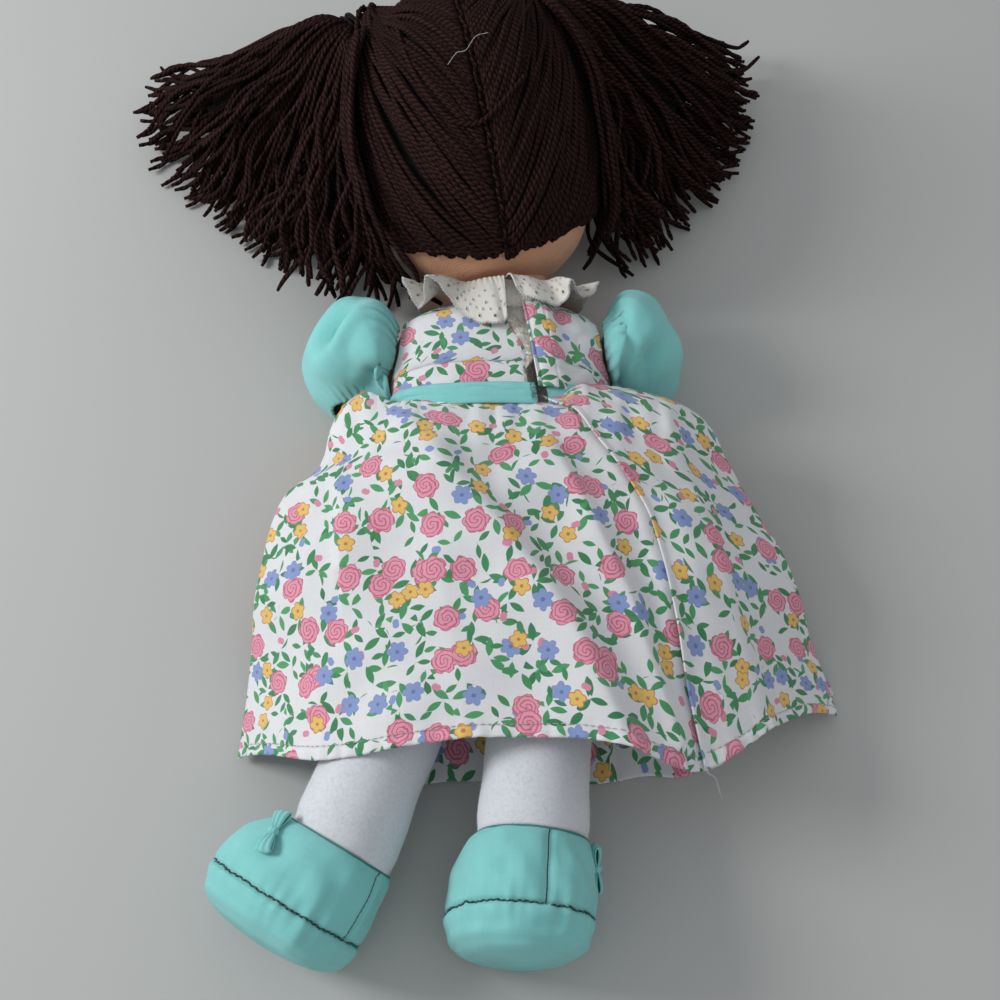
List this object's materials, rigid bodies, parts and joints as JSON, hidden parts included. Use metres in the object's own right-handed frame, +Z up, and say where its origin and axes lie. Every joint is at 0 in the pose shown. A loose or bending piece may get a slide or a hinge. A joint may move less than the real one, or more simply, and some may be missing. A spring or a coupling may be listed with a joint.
{
  "type": "rag doll",
  "caption": "Stuffed cloth doll lying face down, in a lapped floral dress with puffed sleeves and a lace frill, with yarn pigtails and cloth shoes.",
  "frame": {"origin": "on the flat of the chest where the doll rests, on the doll's middle line", "axes": "+Y towards the head, +Z up from the table through the doll's back, +X to the doll's right side"},
  "size_m": [0.299, 0.414, 0.1038],
  "materials": {
    "skin_cloth": "matt woven cotton, light brown",
    "hair_yarn": "twisted yarn, near black brown",
    "hair_cord": "stitched cord, black",
    "calico_print": "white cotton with a common floral calico print",
    "aqua_cotton": "matt woven cotton, pale aqua",
    "eyelet_lace": "white openwork cotton lace",
    "leg_fleece": "brushed white fleece",
    "hook_tape": "hook side of a hook and loop strip",
    "loop_tape": "fuzzy loop side of a hook and loop strip"
  },
  "bodies": {
    "torso": {"body": "skin_cloth", "bodice_front": "calico_print", "bodice_back_left": "calico_print", "bodice_back_right": "calico_print", "closure_hook_strip": "hook_tape", "closure_loop_strip": "loop_tape", "lace_collar": "eyelet_lace", "sleeve_left": "aqua_cotton", "sleeve_right": "aqua_cotton", "sash_left": "aqua_cotton", "sash_right": "aqua_cotton"},
    "neck": {"neck": "skin_cloth"},
    "head": {"head": "skin_cloth", "hair_cap_left": "hair_yarn", "hair_cap_right": "hair_yarn", "parting_tape": "hair_cord", "hair_tie_left": "hair_cord", "hair_tie_right": "hair_cord"},
    "pigtail_left": {"pigtail_left": "hair_yarn"},
    "pigtail_right": {"pigtail_right": "hair_yarn"},
    "arm_left": {"arm_left": "skin_cloth"},
    "arm_right": {"arm_right": "skin_cloth"},
    "hips": {"hip_seam": "skin_cloth", "skirt_front": "calico_print", "skirt_back_left": "calico_print", "skirt_back_right": "calico_print"},
    "leg_left": {"leg_left": "leg_fleece", "shoe_upper_left": "aqua_cotton", "shoe_sole_left": "aqua_cotton", "shoe_bow_left": "aqua_cotton"},
    "leg_right": {"leg_right": "leg_fleece", "shoe_upper_right": "aqua_cotton", "shoe_sole_right": "aqua_cotton", "shoe_bow_right": "aqua_cotton"}
  },
  "joints": [
    {"name": "neck_lean", "type": "hinge", "parent": "torso", "child": "neck", "pos_m": [0, 0.0255, 0.0275], "axis": [0, 0, 1], "range_deg": [-20, 10], "deforming": ["neck", "lace_collar"]},
    {"name": "head_nod", "type": "hinge", "parent": "neck", "child": "head", "pos_m": [0.004, 0.0355, 0.0218], "axis": [1, 0, 0], "range_deg": [-20, 10]},
    {"name": "pigtail_swing_left", "type": "hinge", "parent": "head", "child": "pigtail_left", "pos_m": [-0.05695, 0.15391, 0.07283], "axis": [0, 0, 1], "range_deg": [-50, 0], "deforming": ["pigtail_left"]},
    {"name": "pigtail_swing_right", "type": "hinge", "parent": "head", "child": "pigtail_right", "pos_m": [0.01152, 0.16847, 0.07283], "axis": [0, 0, 1], "range_deg": [0, 50], "deforming": ["pigtail_right"]},
    {"name": "shoulder_left", "type": "hinge", "parent": "torso", "child": "arm_left", "pos_m": [-0.0525, 0.009, 0.0275], "axis": [0, 0, 1], "range_deg": [-80, 0], "deforming": ["sleeve_left"]},
    {"name": "shoulder_right", "type": "hinge", "parent": "torso", "child": "arm_right", "pos_m": [0.0525, 0.009, 0.0275], "axis": [0, 0, 1], "range_deg": [0, 80], "deforming": ["sleeve_right"]},
    {"name": "hip_fold", "type": "hinge", "parent": "torso", "child": "hips", "pos_m": [0, -0.0755, 0.0275], "axis": [1, 0, 0], "range_deg": [-60, 85], "deforming": ["skirt_front", "skirt_back_left", "skirt_back_right"]},
    {"name": "hip_splay_left", "type": "hinge", "parent": "hips", "child": "leg_left", "pos_m": [-0.0195, -0.0888, 0.0275], "axis": [0, 0, 1], "range_deg": [-20, 4]},
    {"name": "hip_splay_right", "type": "hinge", "parent": "hips", "child": "leg_right", "pos_m": [0.0195, -0.0888, 0.0275], "axis": [0, 0, 1], "range_deg": [-2, 30]}
  ]
}
